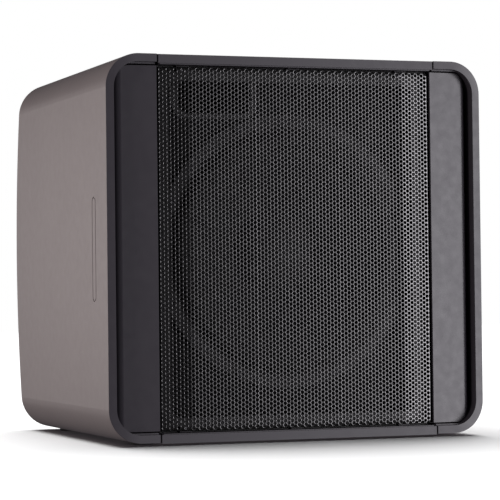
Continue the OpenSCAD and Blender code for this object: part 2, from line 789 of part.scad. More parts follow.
module post_cap(x)
    facing_back(x, 0, tray_floor_d) translate([0, 0, cap_z]) difference() {
        union() {
            cylinder(r = cap_outer_r, h = cap_len - 2);
            translate([0, 0, cap_len - 2]) cylinder(r1 = cap_outer_r, r2 = cap_outer_r - 1.5, h = 2);
        }
        translate([0, 0, -1]) cylinder(r = post_r + 0.06, h = cap_len + 2);
        for (i = [0 : 11]) rotate(i * 30) translate([cap_outer_r + 0.35, 0, 2])
            cylinder(r = 0.95, h = cap_len, $fn = 20);
    }

module red_washer() color([0.75, 0.62, 0.30]) post_washer(post_x[0]);

module red_cap() color([0.60, 0.04, 0.03]) post_cap(post_x[0]);

module black_washer() color([0.75, 0.62, 0.30]) post_washer(post_x[1]);

module black_cap() color([0.03, 0.03, 0.03]) post_cap(post_x[1]);

// Rotary tap selector: body behind the tray, bush and nut through it, shaft and pointer knob outside
module tap_switch() color([0.20, 0.20, 0.21])
    facing_back(tap_x, 0, tray_floor_d) difference() {
        union() {
            translate([0, 0, -20]) cylinder(r = 14, h = 17.3);
            translate([0, 0, -4]) cylinder(r = 4.5, h = 9);
            for (i = [0 : 5]) rotate(i * 60) translate([10, 0, -26]) cylinder(r = 0.8, h = 7, $fn = 20);
        }
        translate([0, 0, -18]) cylinder(r = 3.05, h = 30);
    }

module tap_nut() color([0.60, 0.60, 0.62])
    facing_back(tap_x, 0, tray_floor_d) difference() {
        translate([0, 0, 0.1]) cylinder(r = 7, h = 2.2, $fn = 6);
        translate([0, 0, -1]) cylinder(r = 4.55, h = 6, $fn = 48);
    }

module tap_shaft() color([0.65, 0.65, 0.67])
    facing_back(tap_x, 0, tray_floor_d) translate([0, 0, -17]) cylinder(r = 3, h = 33);

module tap_knob() color([0.04, 0.04, 0.04])
    facing_back(tap_x, 0, tray_floor_d) difference() {
        union() {
            translate([0, 0, 5.6]) cylinder(r1 = 14, r2 = 13, h = 4);
            translate([0, 0, 9.5]) cylinder(r = 9.5, h = 8);
            translate([-2, -1, 9.5]) cube([4, 13, 7]);
        }
        translate([0, 0, 5]) cylinder(r = 3.02, h = 11.3);
        translate([-0.5, 5, 15.5]) cube([1, 10, 3]);
    }

// ---------------------------------------------------------------- crossover and transformer

floor_z = -in_h / 2;
board_d = 185;
board_x = -115;
board_w = 110;
board_l = 80;
board_lift = 9;
standoff_at = [for (x = [6, board_w - 6], y = [6, board_l - 6]) [board_x + x, board_d + y]];
coil_at = [board_x + 30, board_d + 40];
capacitor_at = [for (d = [16, 40, 63]) [board_x + 60, board_d + d]];
lead_x = board_x + 100;
trafo_x = 70;
trafo_d = 225;

// Places its children at a plan position and a lift above the inside floor
module on_floor(x, d, lift) {
    translate([x, front_y + d, mid_z + floor_z + lift]) children();
}

module crossover_board() color([0.07, 0.22, 0.12])
    difference() {
        on_floor(board_x, board_d, board_lift) cube([board_w, board_l, 1.6]);
        for (p = standoff_at) on_floor(p[0], p[1], 0) cylinder(r = 1.6, h = 20);
    }

module board_standoffs() color([0.75, 0.62, 0.30])
    for (p = standoff_at) on_floor(p[0], p[1], 0.1) union() {
        cylinder(r = 3.2, h = board_lift - 0.2, $fn = 6);
        cylinder(r = 1.5, h = board_lift + 2, $fn = 24);
        translate([0, 0, board_lift + 1.7]) cylinder(r = 2.8, h = 1.8, $fn = 32);
    }

module crossover_inductor() color([0.70, 0.36, 0.18])
    on_floor(coil_at[0], coil_at[1], board_lift + 1.7) union() {
        ring(23, 10, 2, 20);
        ring(25, 9, 0, 2.1);
        ring(25, 9, 19.9, 22);
    }

module crossover_capacitors() color([0.10, 0.16, 0.36])
    for (p = capacitor_at) on_floor(p[0], p[1], board_lift + 1.7 + 8.5) rotate([0, 90, 0]) union() {
        cylinder(r = 8.5, h = 30);
        translate([0, 0, -2]) cylinder(r = 1, h = 34, $fn = 16);
    }

module transformer_core() color([0.30, 0.30, 0.32])
    on_floor(trafo_x, trafo_d, 0.1) difference() {
        union() {
            translate([-38, -16, 3]) cube([76, 32, 62]);
            translate([-52, -16, 0]) cube([104, 32, 3.1]);
        }
        for (x = [-26, 13]) translate([x, -17, 16]) cube([13, 34, 36]);
        for (x = [-46, 46]) translate([x, 0, -1]) cylinder(r = 2.4, h = 6);
    }

module transformer_winding() color([0.55, 0.50, 0.20])
    on_floor(trafo_x, trafo_d, 0.1) difference() {
        translate([-25.6, -27, 16.4]) cube([51.2, 54, 35.2]);
        translate([-13.2, -16.2, 10]) cube([26.4, 32.4, 50]);
    }

module transformer_screws() color([0.60, 0.60, 0.62])
    for (x = [-46, 46]) on_floor(trafo_x + x, trafo_d, 3.3) screw(4, 2.4, 2.1, 3.1);

// Pairs of leads: tray to crossover board, and crossover board to the woofer's tags
lead_r = 1.3;
lead_z = mid_z + floor_z + board_lift + 12;
tag_z = mid_z + woofer_z - spider_r - 15;
tag_y = front_y + baffle_d - seat_z - 4;

module terminal_leads() color([0.45, 0.05, 0.05])
    for (i = [0, 1]) wire([
        [post_x[i], front_y + tray_floor_d - 15, mid_z],
        [post_x[i], front_y + tray_floor_d - 26 - 6 * i, mid_z - 4],
        [post_x[i] - 2, front_y + tray_floor_d - 32 - 6 * i, mid_z - 60],
        [lead_x, front_y + board_d + 58 - 10 * i, lead_z + 14],
        [lead_x, front_y + board_d + 58 - 10 * i, lead_z - 9.6]
    ], lead_r);

module woofer_leads() color([0.05, 0.05, 0.05])
    for (s = [-1, 1]) wire([
        [8 * s, tag_y + 1.6, tag_z - 5],
        [10 * s, tag_y + 12, tag_z - 22],
        [lead_x, front_y + board_d + 27 - 5 * s, lead_z + 22],
        [lead_x, front_y + board_d + 27 - 5 * s, lead_z - 9.6]
    ], lead_r);

module damping_wadding() color([0.80, 0.80, 0.78])
    for (s = [-1, 1]) plate(78, 285) translate([s * (in_w / 2 - 11.5), -8]) rounded_rect(22, 260, 8);

// ---------------------------------------------------------------- output

cabinet_shell();
rear_panel();
rear_panel_screws();
bracket_inserts();
rubber_feet();
front_baffle();
baffle_screws();
port_flare();
port_tube();
bezel_left();
bezel_right();
bezel_screws();
cheek_panel_left();
cheek_panel_right();
grille_mesh();
grille_carrier();
grille_top_rail();
grille_bottom_rail();
rail_screws();
grille_studs();
grille_cups();
woofer_gasket();
woofer_basket();
woofer_screws();
woofer_terminals();
top_plate();
magnet();
pole_yoke();
magnet_boot();
surround();
cone();
dust_cap();
coil_former();
voice_coil();
spider();
terminal_tray();
tray_screws();
post_shafts();
post_collars();
post_nuts();
red_washer();
red_cap();
black_washer();
black_cap();
tap_switch();
tap_nut();
tap_shaft();
tap_knob();
crossover_board();
board_standoffs();
crossover_inductor();
crossover_capacitors();
transformer_core();
transformer_winding();
transformer_screws();
terminal_leads();
woofer_leads();
damping_wadding();
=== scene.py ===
import json
import math

import bmesh
import bpy
import numpy as np
from mathutils import Matrix, Vector, noise


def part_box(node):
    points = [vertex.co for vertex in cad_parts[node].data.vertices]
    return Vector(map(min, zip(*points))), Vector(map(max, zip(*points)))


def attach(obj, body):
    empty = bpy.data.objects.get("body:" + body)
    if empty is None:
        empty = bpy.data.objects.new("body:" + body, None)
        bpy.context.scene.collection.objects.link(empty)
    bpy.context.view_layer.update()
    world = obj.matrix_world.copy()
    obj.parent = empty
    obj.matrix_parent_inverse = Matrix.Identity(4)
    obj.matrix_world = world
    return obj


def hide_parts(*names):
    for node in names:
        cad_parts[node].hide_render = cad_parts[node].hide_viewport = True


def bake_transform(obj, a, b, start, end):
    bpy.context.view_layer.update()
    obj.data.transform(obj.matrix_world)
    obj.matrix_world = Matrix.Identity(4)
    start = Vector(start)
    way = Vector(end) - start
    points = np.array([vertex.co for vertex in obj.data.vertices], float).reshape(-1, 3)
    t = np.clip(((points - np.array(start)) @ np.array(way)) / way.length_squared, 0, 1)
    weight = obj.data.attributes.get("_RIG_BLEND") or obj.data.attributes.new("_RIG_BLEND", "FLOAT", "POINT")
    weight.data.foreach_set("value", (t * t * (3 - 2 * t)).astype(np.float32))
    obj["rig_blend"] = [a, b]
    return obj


# The looks of a compact ported subwoofer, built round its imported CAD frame. Everything is in metres:
# X across the front, +Y from the grille to the back, +Z up, the origin on the floor under the cabinet.

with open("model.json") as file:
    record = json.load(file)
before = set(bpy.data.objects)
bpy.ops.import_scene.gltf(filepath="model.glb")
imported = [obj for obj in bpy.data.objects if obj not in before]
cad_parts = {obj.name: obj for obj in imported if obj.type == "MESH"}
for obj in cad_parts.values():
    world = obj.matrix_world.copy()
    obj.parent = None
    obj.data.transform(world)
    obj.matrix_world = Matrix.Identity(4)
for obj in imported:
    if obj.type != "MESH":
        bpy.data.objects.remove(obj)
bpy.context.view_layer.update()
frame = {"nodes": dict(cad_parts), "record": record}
NODES = frame["nodes"]
MM = 0.001


# ------------------------------------------------------------------ camera

# Degrees: yaw turns to the right of +Y, pitch upwards, and roll tips the picture
CAMERA_PLACE = (-0.7576, -2.1281, 0.1350)
CAMERA_YAW = 19.875
CAMERA_PITCH = 1.22
CAMERA_ROLL = -0.654
CAMERA_LENS = 161.2


def make_camera():
    """A long lens, to the left of the front and level with the middle of the cabinet."""
    data = bpy.data.cameras.new("camera")
    data.lens = CAMERA_LENS
    data.sensor_width = 36.0
    data.clip_start, data.clip_end = 0.05, 50.0
    camera = bpy.data.objects.new("camera", data)
    bpy.context.scene.collection.objects.link(camera)
    yaw, pitch, roll = (math.radians(a) for a in (CAMERA_YAW, CAMERA_PITCH, CAMERA_ROLL))
    ahead = Vector((math.sin(yaw) * math.cos(pitch), math.cos(yaw) * math.cos(pitch), math.sin(pitch)))
    level = Vector((math.cos(yaw), -math.sin(yaw), 0.0))
    above = level.cross(ahead)
    right = math.cos(roll) * level + math.sin(roll) * above
    up = math.cos(roll) * above - math.sin(roll) * level
    turn = Matrix((right, up, -ahead)).transposed().to_4x4()
    camera.matrix_world = Matrix.Translation(CAMERA_PLACE) @ turn
    bpy.context.scene.camera = camera


# ------------------------------------------------------------------ floor and light

FLOOR_SIDE = 14.0


def softbox(name, place, aim, size, power, colour, receivers):
    """A rectangular area light at a place, aimed at a point, that lights one collection."""
    data = bpy.data.lights.new(name, "AREA")
    data.shape = "RECTANGLE"
    data.size, data.size_y = size
    data.energy = power
    data.color = colour
    lamp = bpy.data.objects.new(name, data)
    lamp.location = place
    lamp.rotation_mode = "QUATERNION"
    lamp.rotation_quaternion = (Vector(aim) - Vector(place)).to_track_quat("-Z", "Y")
    bpy.context.scene.collection.objects.link(lamp)
    lamp.light_linking.receiver_collection = receivers


def make_floor():
    """A white floor that shows the object's shadow but throws no light or reflection back at it."""
    mesh = bpy.data.meshes.new("floor")
    half = FLOOR_SIDE / 2
    corners = [(-half, -half, 0), (half, -half, 0), (half, half, 0), (-half, half, 0)]
    mesh.from_pydata(corners, [], [(0, 1, 2, 3)])
    floor = bpy.data.objects.new("floor", mesh)
    bpy.context.scene.collection.objects.link(floor)
    floor.visible_diffuse = False
    floor.visible_glossy = False
    floor.visible_shadow = False
    paper = bpy.data.materials.new("studio_floor")
    paper.use_nodes = True
    skin = paper.node_tree.nodes["Principled BSDF"]
    skin.inputs["Base Color"].default_value = (0.86, 0.86, 0.86, 1)
    skin.inputs["Roughness"].default_value = 0.9
    skin.inputs["Specular IOR Level"].default_value = 0.1
    mesh.materials.append(paper)
    return floor


def make_lamps(floor):
    """A wide sun for the floor alone. For the object, a key at the front right and weaker lamps all round."""
    floor_only = bpy.data.collections.new("floor_only")
    floor_only.objects.link(floor)
    not_floor = bpy.data.collections.new("not_floor")
    not_floor.objects.link(floor)
    not_floor.collection_objects[0].light_linking.link_state = "EXCLUDE"

    data = bpy.data.lights.new("overhead", "SUN")
    data.energy = 5.0
    data.angle = math.radians(56)
    overhead = bpy.data.objects.new("overhead", data)
    overhead.rotation_mode = "QUATERNION"
    overhead.rotation_quaternion = Vector((0.0, -0.40, -1)).to_track_quat("-Z", "Y")
    bpy.context.scene.collection.objects.link(overhead)
    overhead.light_linking.receiver_collection = floor_only

    middle = (0.0, 0.0, 0.18)
    warm = (1.0, 0.91, 0.90)
    white = (1.0, 1.0, 1.0)
    # Each lamp's name, place, size across and down, power and colour
    lamps = [
        ("key", (1.84, -2.29, 0.10), (1.3, 1.9), 60, (1.0, 0.972, 1.02)),
        ("front", (-1.8, -1.9, 0.30), (0.9, 1.2), 1.4, warm),
        ("side", (-1.5, 1.9, 0.25), (1.2, 0.7), 7.5, warm),
        ("left", (-1.5, -0.38, 0.30), (0.6, 0.7), 11.0, warm),
        ("back", (1.5, 2.4, 0.9), (1.8, 1.4), 52, white),
        ("top", (1.4, 0.9, 2.1), (1.2, 1.0), 8.0, white),
    ]
    for name, place, size, power, colour in lamps:
        softbox(name, place, middle, size, power, colour, receivers=not_floor)


def make_surroundings():
    """White to the camera, a dim grey to everything else."""
    scene = bpy.context.scene
    scene.view_settings.view_transform = "Standard"
    world = bpy.data.worlds.new("studio")
    scene.world = world
    world.use_nodes = True
    tree = world.node_tree
    tree.nodes.clear()
    path = tree.nodes.new("ShaderNodeLightPath")
    seen = tree.nodes.new("ShaderNodeBackground")
    seen.inputs["Color"].default_value = (1, 1, 1, 1)
    fill = tree.nodes.new("ShaderNodeBackground")
    fill.inputs["Color"].default_value = (0.055, 0.052, 0.060, 1)
    mix = tree.nodes.new("ShaderNodeMixShader")
    out = tree.nodes.new("ShaderNodeOutputWorld")
    tree.links.new(path.outputs["Is Camera Ray"], mix.inputs["Fac"])
    tree.links.new(fill.outputs[0], mix.inputs[1])
    tree.links.new(seen.outputs[0], mix.inputs[2])
    tree.links.new(mix.outputs[0], out.inputs["Surface"])


# ------------------------------------------------------------------ materials

# How far apart a wave texture's bands are when its scale is 1
WAVE_PERIOD = 2 * math.pi / 20.0


class Shader:
    """A Principled material with procedural colour, roughness and bump, in object coordinates."""

    def __init__(self, name, colour, rough, metal=0.0, specular=0.5, coat=0.0, sheen=0.0, ior=1.5):
        self.material = bpy.data.materials.new(name)
        self.material.use_nodes = True
        self.tree = self.material.node_tree
        self.skin = self.tree.nodes["Principled BSDF"]
        self.skin.inputs["Base Color"].default_value = (*colour, 1)
        self.skin.inputs["Roughness"].default_value = rough
        self.skin.inputs["Metallic"].default_value = metal
        self.skin.inputs["Specular IOR Level"].default_value = specular
        self.skin.inputs["IOR"].default_value = ior
        self.skin.inputs["Coat Weight"].default_value = coat
        self.skin.inputs["Sheen Weight"].default_value = sheen
        self.colour, self.rough = colour, rough
        self.place = self.tree.nodes.new("ShaderNodeTexCoord").outputs["Object"]
        self.normal = None

    def node(self, kind, **sockets):
        made = self.tree.nodes.new(kind)
        for key, value in sockets.items():
            made.inputs[key.replace("_", " ")].default_value = value
        return made

    def stretched(self, scale):
        """Object coordinates scaled by axis."""
        mapping = self.node("ShaderNodeMapping", Scale=scale)
        self.tree.links.new(self.place, mapping.inputs["Vector"])
        return mapping.outputs["Vector"]

    def noise(self, size, detail=2.0, roughness=0.5, stretch=(1, 1, 1)):
        """Noise with features about size metres across."""
        made = self.node("ShaderNodeTexNoise", Scale=1.0 / size, Detail=detail, Roughness=roughness)
        self.tree.links.new(self.stretched(stretch), made.inputs["Vector"])
        return made.outputs["Fac"]

    def bands(self, pitch, axis, distortion=0.0):
        """Bands across one axis, pitch metres apart."""
        made = self.node("ShaderNodeTexWave", Scale=WAVE_PERIOD / pitch, Distortion=distortion)
        made.wave_profile = "SIN"
        made.bands_direction = axis
        self.tree.links.new(self.place, made.inputs["Vector"])
        return made.outputs["Fac"]

    def ramp(self, value, low, high, out_low=0.0, out_high=1.0):
        made = self.node("ShaderNodeMapRange")
        made.inputs["From Min"].default_value = low
        made.inputs["From Max"].default_value = high
        made.inputs["To Min"].default_value = out_low
        made.inputs["To Max"].default_value = out_high
        self.tree.links.new(value, made.inputs["Value"])
        return made.outputs["Result"]

    def tint(self, value, spread, other=None):
        """Base colour from a darker to a lighter shade, or to another colour, by a 0 to 1 value."""
        mix = self.tree.nodes.new("ShaderNodeMix")
        mix.data_type = "RGBA"
        low = tuple(c * (1 - spread) for c in self.colour)
        high = tuple(min(1.0, c * (1 + spread)) for c in self.colour)
        mix.inputs[6].default_value = (*low, 1)
        mix.inputs[7].default_value = (*(other or high), 1)
        before = self.skin.inputs["Base Color"].links
        if before:
            self.tree.links.new(before[0].from_socket, mix.inputs[6])
        self.tree.links.new(value, mix.inputs[0])
        self.tree.links.new(mix.outputs[2], self.skin.inputs["Base Color"])
        return self

    def shine(self, value, spread):
        """Roughness that varies about its middle."""
        low, high = max(0.02, self.rough - spread), min(1.0, self.rough + spread)
        self.tree.links.new(self.ramp(value, 0.25, 0.75, low, high), self.skin.inputs["Roughness"])
        return self

    def bump(self, value, depth, strength=1.0):
        """Relief of a depth in metres. Calls add up."""
        made = self.node("ShaderNodeBump", Strength=strength, Distance=depth)
        self.tree.links.new(value, made.inputs["Height"])
        if self.normal is not None:
            self.tree.links.new(self.normal, made.inputs["Normal"])
        self.normal = made.outputs["Normal"]
        self.tree.links.new(self.normal, self.skin.inputs["Normal"])
        return self


def moulded(name, colour, rough, grain=0.45, depth=0.012, **finish):
    """Moulded plastic: fine spark texture, faint flow marks, uneven sheen."""
    s = Shader(name, colour, rough, **finish)
    s.tint(s.noise(60 * MM, 3), 0.05)
    s.shine(s.noise(9 * MM, 4), 0.035)
    s.bump(s.noise(grain * MM, 3, 0.6), depth * MM)
    return s.material


def powder_coat(name, colour, rough, **finish):
    """Coated steel: slight orange peel over a fine speckle."""
    s = Shader(name, colour, rough, **finish)
    s.tint(s.noise(0.9 * MM, 3), 0.12)
    s.shine(s.noise(4 * MM, 3), 0.06)
    s.bump(s.noise(0.8 * MM, 2, 0.5), 0.02 * MM)
    return s.material


def plated(name, colour, rough, stretch=(1, 1, 1), **finish):
    """Turned or plated metal: fine scratches along one way and uneven plating."""
    s = Shader(name, colour, rough, metal=1.0, **finish)
    s.tint(s.noise(5 * MM, 4), 0.12)
    s.shine(s.noise(1.2 * MM, 4, 0.6, stretch), 0.1)
    s.bump(s.noise(0.25 * MM, 3, 0.6, stretch), 0.004 * MM)
    return s.material


def rubber(name, colour, rough=0.75):
    s = Shader(name, colour, rough, specular=0.25)
    s.tint(s.noise(3 * MM, 4), 0.15)
    s.shine(s.noise(1.5 * MM, 3), 0.06)
    s.bump(s.noise(0.35 * MM, 3, 0.6), 0.012 * MM)
    return s.material


def fibreboard():
    s = Shader("sealed_fibreboard", (0.007, 0.007, 0.0075), 0.75, specular=0.12)
    s.tint(s.noise(1.4 * MM, 5, 0.7), 0.35)
    s.shine(s.noise(3 * MM, 3), 0.08)
    s.bump(s.noise(0.9 * MM, 5, 0.7), 0.05 * MM)
    return s.material


def coated_pulp(name, colour):
    """Pressed paper cone: fibres and a faint felted grain."""
    s = Shader(name, colour, 0.62, specular=0.25)
    s.tint(s.noise(1.1 * MM, 6, 0.75, (1, 1, 3)), 0.4)
    s.shine(s.noise(2.5 * MM, 4), 0.1)
    s.bump(s.noise(0.8 * MM, 6, 0.75, (2.5, 1, 1)), 0.06 * MM)
    s.bump(s.noise(6 * MM, 2), 0.12 * MM)
    return s.material


def wound(name, colour, pitch, axis, rough=0.3, metal=1.0):
    """Wire wound in layers, its turns across one axis."""
    s = Shader(name, colour, rough, metal=metal)
    turns = s.bands(pitch, axis)
    # The colour darkens in the grooves between turns and lightens on their crests: painted shade and painted
    # highlight
    s.tint(turns, 0.45)
    s.shine(s.noise(2 * MM, 3), 0.08)
    s.bump(turns, pitch * 0.35)
    return s.material


def laminated():
    s = Shader("laminated_steel", (0.12, 0.12, 0.13), 0.45, metal=0.7)
    sheets = s.bands(0.6 * MM, "Y", distortion=0.2)
    s.tint(sheets, 0.5)
    s.shine(s.noise(4 * MM, 4), 0.12)
    s.bump(sheets, 0.08 * MM)
    return s.material


def cloth(name, colour, pitch):
    """Plain weave seen across two axes."""
    s = Shader(name, colour, 0.85, specular=0.2, sheen=0.25)
    warp, weft = s.bands(pitch, "X"), s.bands(pitch, "Z")
    s.tint(s.noise(4 * MM, 4), 0.2)
    s.bump(warp, pitch * 0.25)
    s.bump(weft, pitch * 0.25)
    return s.material


def wadding():
    s = Shader("polyester_wadding", (0.70, 0.69, 0.65), 0.95, specular=0.1, sheen=0.5)
    s.tint(s.noise(9 * MM, 5, 0.7), 0.12)
    s.bump(s.noise(3 * MM, 6, 0.75, (1, 0.35, 1)), 0.9 * MM)
    return s.material


def circuit_board():
    """Green mask over a faint relief of tracks."""
    s = Shader("green_solder_mask", (0.015, 0.10, 0.04), 0.3, coat=0.3)
    tracks = s.ramp(s.bands(5 * MM, "X", distortion=6), 0.62, 0.66)
    s.tint(tracks, 0.0, (0.03, 0.17, 0.07))
    s.shine(s.noise(6 * MM, 3), 0.05)
    s.bump(tracks, 0.05 * MM)
    return s.material


def make_materials():
    trim = (0.040, 0.036, 0.044)
    return {
        "sleeve": moulded("sleeve_plastic", (0.215, 0.192, 0.190), 0.45, 0.5, 0.014),
        "back_panel": moulded("back_panel_plastic", (0.028, 0.028, 0.030), 0.55, 0.8, 0.05),
        "trim": moulded("trim_plastic", trim, 0.42, 0.35, 0.006),
        "cheek": moulded("cheek_plastic", trim, 0.40, 0.35, 0.006),
        "perforated_steel": powder_coat("perforated_steel_coat", (0.005, 0.0048, 0.005), 0.27,
                                        specular=0.62, ior=1.7),
        # A darker, duller copy of the grille's coat for the hole walls, back, plain patches and rim: painted
        # shade
        "painted_shade_coat": powder_coat("punched_walls_painted_shade", (0.004, 0.004, 0.004), 0.8, specular=0.1),
        "black_plastic": moulded("black_plastic", (0.014, 0.014, 0.015), 0.5, 0.6, 0.02),
        "terminal_plastic": moulded("terminal_plastic", (0.022, 0.022, 0.024), 0.5, 0.6, 0.03),
        "baffle_board": fibreboard(),
        "rubber": rubber("black_rubber", (0.011, 0.011, 0.011)),
        "black_screw": plated("black_oxide", (0.035, 0.035, 0.038), 0.38),
        "zinc_screw": plated("zinc_plate", (0.50, 0.50, 0.52), 0.32),
        "basket": powder_coat("basket_coat", (0.010, 0.010, 0.011), 0.5, specular=0.3),
        "plated_steel": plated("plated_steel", (0.52, 0.52, 0.55), 0.28),
        "ferrite": powder_coat("ferrite", (0.05, 0.05, 0.054), 0.6),
        "cone_paper": coated_pulp("coated_pulp", (0.012, 0.012, 0.0125)),
        "former": moulded("polyimide_film", (0.50, 0.27, 0.06), 0.25, 2.0, 0.01, coat=0.4),
        "copper": wound("enamelled_copper", (0.60, 0.25, 0.11), 0.9 * MM, "Z"),
        "spider_cloth": cloth("resin_dipped_cloth", (0.48, 0.34, 0.12), 0.9 * MM),
        "brass": plated("gold_plated_brass", (0.80, 0.57, 0.24), 0.22),
        "red_plastic": moulded("red_plastic", (0.42, 0.012, 0.010), 0.28, 1.0, 0.006, coat=0.2),
        "black_cap_plastic": moulded("black_cap_plastic", (0.016, 0.016, 0.016), 0.3, 1.0, 0.006,
                                     coat=0.2),
        "switch_body": moulded("switch_plastic", (0.05, 0.05, 0.055), 0.45),
        "circuit_board": circuit_board(),
        "capacitor_film": moulded("shrink_sleeve", (0.02, 0.045, 0.20), 0.3, 2.0, 0.01, coat=0.3),
        "lamination": laminated(),
        "winding": moulded("winding_tape", (0.42, 0.28, 0.05), 0.4, 1.2, 0.02),
        "lead_red": rubber("red_insulation", (0.26, 0.015, 0.012), 0.45),
        "lead_black": rubber("black_insulation", (0.018, 0.018, 0.018), 0.45),
        "wadding": wadding(),
    }


MATERIALS = make_materials()


def finish_cad_nodes():
    """Gives each CAD node the material of its slot."""
    for part in frame["record"]["subparts"]:
        node = NODES[part["node"]]
        for i in range(max(1, len(node.material_slots))):
            if len(node.material_slots) <= i:
                node.data.materials.append(MATERIALS[part["material_slot"]])
            node.material_slots[i].material = MATERIALS[part["material_slot"]]


# ------------------------------------------------------------------ mesh helpers

def piece(name, verts, faces, slot, body, replaces=(), smooth=35):
    """A mesh object that rides on a body, with its slot's material."""
    mesh = bpy.data.meshes.new(name)
    mesh.from_pydata([tuple(v) for v in verts], [], [tuple(int(i) for i in f) for f in faces])
    mesh.validate()
    mesh.materials.append(MATERIALS[slot])
    obj = bpy.data.objects.new(name, mesh)
    bpy.context.scene.collection.objects.link(obj)
    if smooth:
        mesh.shade_smooth()
        mesh.set_sharp_from_angle(angle=math.radians(smooth))
    if body:
        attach(obj, body)
    if replaces:
        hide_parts(*replaces)
    return obj


# ------------------------------------------------------------------ perforated grille

# A hole has a pressed-in lip: its outer ring is a little below the face, its inner ring deeper
HOLE_R = 1.56 * MM
PUNCH_R = 1.80 * MM
PUNCH_FALL = 0.045 * MM
PUNCH_DEPTH = 0.162 * MM
HOLE_SIDES = 12
# Holes stand in columns. Every other column is half a row out of step and has one hole fewer
HOLE_PITCH = 4.0 * MM
ROW_PITCH = 4.03 * MM
COLUMN_PITCH = HOLE_PITCH * math.sqrt(3) / 2
COLUMNS, ROWS = 78, 83
# The columns at which the sheet is cut into three pieces
CUTS = [0, 27, 51, COLUMNS]
# Plain metal beyond the outer columns
FIELD_EDGE = 0.3 * MM
SHEET_T = 1.2 * MM
# The sheet's two folds: their distance from the middle and radius, and how far the sides go back
FOLD_X = 108.3 * MM
FOLD_R = 22.0 * MM
SIDE_BACK = 9.0 * MM
# The bend into the flange all round, and the flange's depth along the top and bottom
BEND_R = 1.7 * MM
HEM_DEPTH = 8.2 * MM
# A cell's six border points before they are staggered, in half columns and half rows from its hole
CELL_CORNERS = [(1, 0), (1, 1), (-1, 1), (-1, 0), (-1, -1), (1, -1)]
# A cell's faces between its border points (B) and its hole's twelve (H), for the upper half
CELL_FANS = [
    ("B0", "H1", "H0"), ("B0", "B1", "H1"), ("B1", "H2", "H1"), ("B1", "H3", "H2"), ("B1", "B2", "H3"),
    ("B2", "H4", "H3"), ("B2", "H5", "H4"), ("B2", "B3", "H5"), ("B3", "H6", "H5"),
]


class Sheet:
    """The folded sheet: from a place on it when flat to its place in the frame."""

    def __init__(self, side_x, front_y, side_y, mid_z):
        self.front_y, self.mid_z = front_y, mid_z
        self.slope = math.atan2(side_y - front_y, side_x - FOLD_X)
        self.arc = FOLD_R * self.slope
        tangent = FOLD_R * math.tan(self.slope / 2)
        self.flat = FOLD_X - tangent
        facet = math.hypot(side_x - FOLD_X, side_y - front_y)
        self.half_width = self.flat + self.arc + facet - tangent

    def at(self, across, height, depth):
        """The point depth metres behind the sheet's front face."""
        sign = np.sign(across)
        u = np.abs(across)
        turn = np.clip((u - self.flat) / self.arc, 0, 1) * self.slope
        x = np.minimum(u, self.flat) + FOLD_R * np.sin(turn)
        y = FOLD_R * (1 - np.cos(turn))
        beyond = np.maximum(u - self.flat - self.arc, 0)
        x = x + beyond * math.cos(self.slope)
        y = y + beyond * math.sin(self.slope)
        return np.stack([sign * (x - depth * np.sin(turn)), self.front_y + y + depth * np.cos(turn),
                         self.mid_z + height + 0 * u], axis=-1)


def cell_faces():
    """The upper fans and their half-turned copies, as codes 0..5 for the border and 6..17 for the hole."""
    def code(name, turned):
        index = int(name[1:])
        if name[0] == "B":
            return (index + 3 * turned) % 6
        return 6 + (index + 6 * turned) % HOLE_SIDES
    return [tuple(code(n, t) for n in fan) for t in (0, 1) for fan in CELL_FANS]


def border_points(first, last):
    """The grid between the holes of columns first to last, staggered sideways into hexagons round them."""
    lines, marks = np.arange(first, last + 1), np.arange(2 * ROWS + 1)
    across, height = np.meshgrid((lines - COLUMNS / 2) * COLUMN_PITCH, (marks - ROWS) * ROW_PITCH / 2,
                                 indexing="ij")
    stagger = np.where((marks[None, :] - 1 - lines[:, None]) % 2 == 0, -1, 1) * COLUMN_PITCH / 6
    ends = (lines == COLUMNS) * FIELD_EDGE - (lines == 0) * FIELD_EDGE
    across = across + np.where(ends[:, None] == 0, stagger, ends[:, None])
    return np.stack([across.ravel(), height.ravel()], axis=-1)


